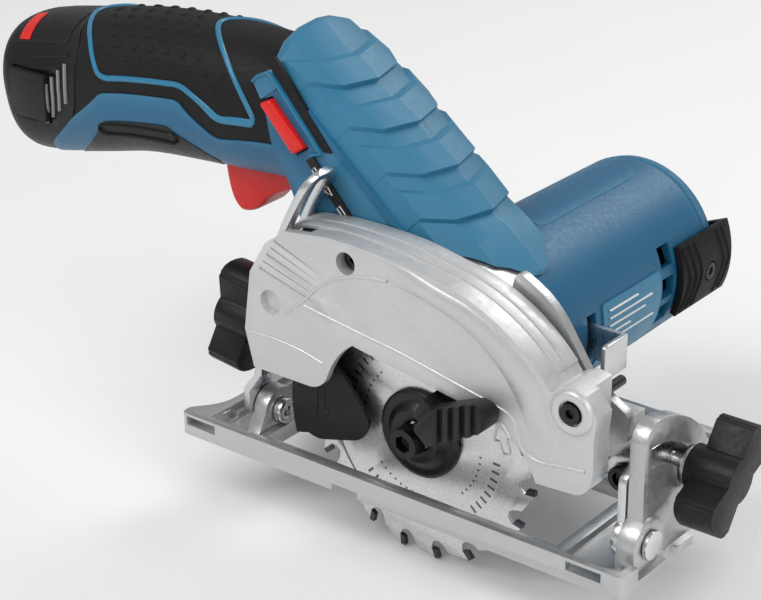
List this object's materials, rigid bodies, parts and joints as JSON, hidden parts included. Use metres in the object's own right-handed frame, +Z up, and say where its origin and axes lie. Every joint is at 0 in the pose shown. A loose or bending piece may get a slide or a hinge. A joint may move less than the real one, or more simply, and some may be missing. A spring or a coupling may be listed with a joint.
{
  "type": "circular saw",
  "caption": "Compact cordless circular saw with tilting base, swinging lower guard, blade and gear train, trigger, lock-off button and slide-in battery.",
  "frame": {"origin": "on the sole of the base plate, 40 mm to the motor side of the blade's middle plane and level with the blade axis along the cut", "axes": "+X the cutting direction, +Y from the blade towards the motor's end, +Z up from the sole"},
  "size_m": [0.2818, 0.14, 0.1504],
  "materials": {
    "cast_metal": "satin",
    "painted_guard": "satin",
    "steel": "satin",
    "dark_steel": "satin",
    "black_plastic": "matte",
    "blue_plastic": "matte",
    "rubber": "matte",
    "red_plastic": "gloss",
    "copper": "satin",
    "white_plastic": "matte"
  },
  "bodies": {
    "base": {"base_plate": "cast_metal", "bevel_rivet": "steel", "bevel_screw_rear": "steel"},
    "bevel_carriage": {"pivot_bracket": "steel", "depth_guide": "steel", "bevel_clamp_screw": "steel", "bevel_washer": "steel"},
    "bevel_knob": {"bevel_wing_knob": "black_plastic"},
    "head": {"gear_housing": "cast_metal", "gear_cover": "cast_metal", "upper_guard": "painted_guard", "depth_pivot_bolt": "dark_steel", "guard_screw_front": "dark_steel", "guard_screw_top": "dark_steel", "depth_clamp_stud": "steel", "depth_washer": "steel", "spindle_bearing_front": "steel", "spindle_bearing_rear": "steel", "motor_can": "steel", "body_shell_right": "blue_plastic", "body_shell_left": "blue_plastic", "grip_right": "rubber", "grip_left": "rubber", "motor_housing": "blue_plastic", "motor_end_cap": "blue_plastic", "bumper_front": "rubber", "bumper_rear": "rubber", "bumper_screw_front": "dark_steel", "bumper_screw_rear": "dark_steel", "rating_label": "blue_plastic", "charge_indicator": "black_plastic", "switch_module": "black_plastic", "terminal_block": "white_plastic"},
    "depth_knob": {"depth_wing_knob": "black_plastic"},
    "lower_guard_body": {"lower_guard": "black_plastic", "guard_lever": "black_plastic", "guard_spring": "steel"},
    "spindle": {"spindle_shaft": "steel", "spindle_gear": "steel", "inner_flange": "dark_steel", "saw_blade": "steel", "outer_flange": "dark_steel", "blade_bolt": "steel"},
    "idler": {"idler_shaft": "steel", "idler_gear": "steel"},
    "rotor": {"motor_shaft": "steel", "motor_pinion": "steel", "armature": "copper", "commutator": "copper", "cooling_fan": "black_plastic"},
    "trigger_body": {"trigger": "red_plastic"},
    "lock_off": {"lock_off_button": "red_plastic"},
    "spindle_lock": {"spindle_lock_lever": "steel"},
    "battery": {"battery_case": "black_plastic", "battery_cell_1": "steel", "battery_cell_2": "steel", "battery_cell_3": "steel"},
    "tab_right": {"battery_tab_right": "black_plastic"},
    "tab_left": {"battery_tab_left": "black_plastic"}
  },
  "joints": [
    {"name": "bevel_tilt", "type": "hinge", "parent": "base", "child": "bevel_carriage", "pos_m": [0, -0.04, 0.0098], "axis": [1, 0, 0], "range_deg": [0, 45]},
    {"name": "bevel_knob_turn", "type": "hinge", "parent": "bevel_carriage", "child": "bevel_knob", "pos_m": [0.082, -0.01844, 0.02605], "axis": [1, 0, 0], "range_deg": [-150, 150]},
    {"name": "depth_swing", "type": "hinge", "parent": "bevel_carriage", "child": "head", "pos_m": [0.0677, -0.032, 0.0246], "axis": [0, 1, 0], "range_deg": [-3.2, 19.4]},
    {"name": "depth_knob_turn", "type": "hinge", "parent": "head", "child": "depth_knob", "pos_m": [-0.05848, -0.0423, 0.03898], "axis": [-0.9936, 0, 0.1132], "range_deg": [-150, 150]},
    {"name": "lower_guard_swing", "type": "hinge", "parent": "head", "child": "lower_guard_body", "pos_m": [0, -0.04, 0.0198], "axis": [0, 1, 0], "range_deg": [-135, 0]},
    {"name": "spindle_spin", "type": "hinge", "parent": "head", "child": "spindle", "pos_m": [0, -0.04, 0.0198], "axis": [0, -1, 0], "continuous": true},
    {"name": "idler_spin", "type": "hinge", "parent": "head", "child": "idler", "pos_m": [-0.0074, -0.04, 0.0345], "axis": [0, -1, 0], "continuous": true},
    {"name": "rotor_spin", "type": "hinge", "parent": "head", "child": "rotor", "pos_m": [0.0044, -0.04, 0.0469], "axis": [0, -1, 0], "continuous": true},
    {"name": "trigger_squeeze", "type": "hinge", "parent": "head", "child": "trigger_body", "pos_m": [-0.06, -0.016, 0.086], "axis": [0, 1, 0], "range_deg": [0, 7], "stiffness_Nm_per_rad": 0.5, "springref_deg": -6.88},
    {"name": "lock_off_press", "type": "slide", "parent": "head", "child": "lock_off", "axis": [0, 1, 0], "range_m": [0, 0.0025], "stiffness_N_per_m": 300, "springref_m": -0.001},
    {"name": "spindle_lock_press", "type": "slide", "parent": "head", "child": "spindle_lock", "axis": [-1, 0, 0], "range_m": [0, 0.0018], "stiffness_N_per_m": 300, "springref_m": -0.001},
    {"name": "battery_slide", "type": "slide", "parent": "head", "child": "battery", "axis": [-0.9806, 0, -0.1961], "range_m": [0, 0.045]},
    {"name": "tab_right_press", "type": "slide", "parent": "battery", "child": "tab_right", "axis": [0, 1, 0], "range_m": [0, 0.0015], "stiffness_N_per_m": 300, "springref_m": -0.001},
    {"name": "tab_left_press", "type": "slide", "parent": "battery", "child": "tab_left", "axis": [0, -1, 0], "range_m": [0, 0.0015], "stiffness_N_per_m": 300, "springref_m": -0.001}
  ],
  "couplings": [
    {"joint": "idler_spin", "follows": "spindle_spin", "ratio": -2.6667},
    {"joint": "rotor_spin", "follows": "spindle_spin", "ratio": 11.81}
  ]
}
